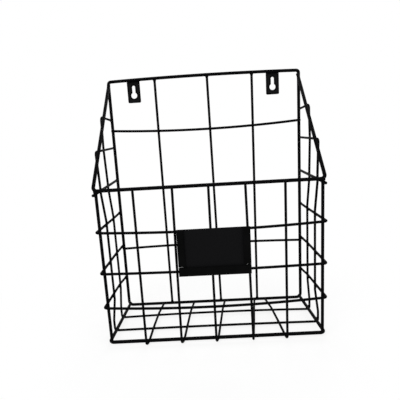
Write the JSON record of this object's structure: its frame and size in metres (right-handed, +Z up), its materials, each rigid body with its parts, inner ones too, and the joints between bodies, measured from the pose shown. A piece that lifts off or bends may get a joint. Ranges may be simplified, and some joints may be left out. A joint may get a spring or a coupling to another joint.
{
  "type": "hanging file rack",
  "caption": "Black wire wall basket for files, with a slanted side rim, keyhole hanger plates on its top rail and a folded label holder on its front.",
  "frame": {"origin": "middle of the overall box, on the surface that the rack would stand on", "axes": "+Z up, -Y towards the front with the label holder, +Y into the wall, +X to the right seen from the front"},
  "size_m": [0.3114, 0.1322, 0.3788],
  "materials": {
    "black_wire": "black powder coat, satin",
    "black_plate": "black powder coat, satin",
    "black_sheet": "black powder coat, matte"
  },
  "bodies": {
    "root": {"back_frame": "black_wire", "front_rim": "black_wire", "base_rim": "black_wire", "front_hoop_lower": "black_wire", "front_hoop_middle": "black_wire", "front_hoop_upper": "black_wire", "side_hoop_rear": "black_wire", "side_hoop_front": "black_wire", "front_rib_1": "black_wire", "front_rib_2": "black_wire", "front_rib_3": "black_wire", "front_rib_4": "black_wire", "front_rib_5": "black_wire", "front_post_left": "black_wire", "front_post_right": "black_wire", "side_bar_left": "black_wire", "side_bar_right": "black_wire", "back_upright_left": "black_wire", "back_upright_middle": "black_wire", "back_upright_right": "black_wire", "back_crossbar_upper": "black_wire", "back_crossbar_lower": "black_wire", "hanger_plate_left": "black_plate", "hanger_plate_right": "black_plate", "label_holder": "black_sheet"}
  },
  "joints": []
}
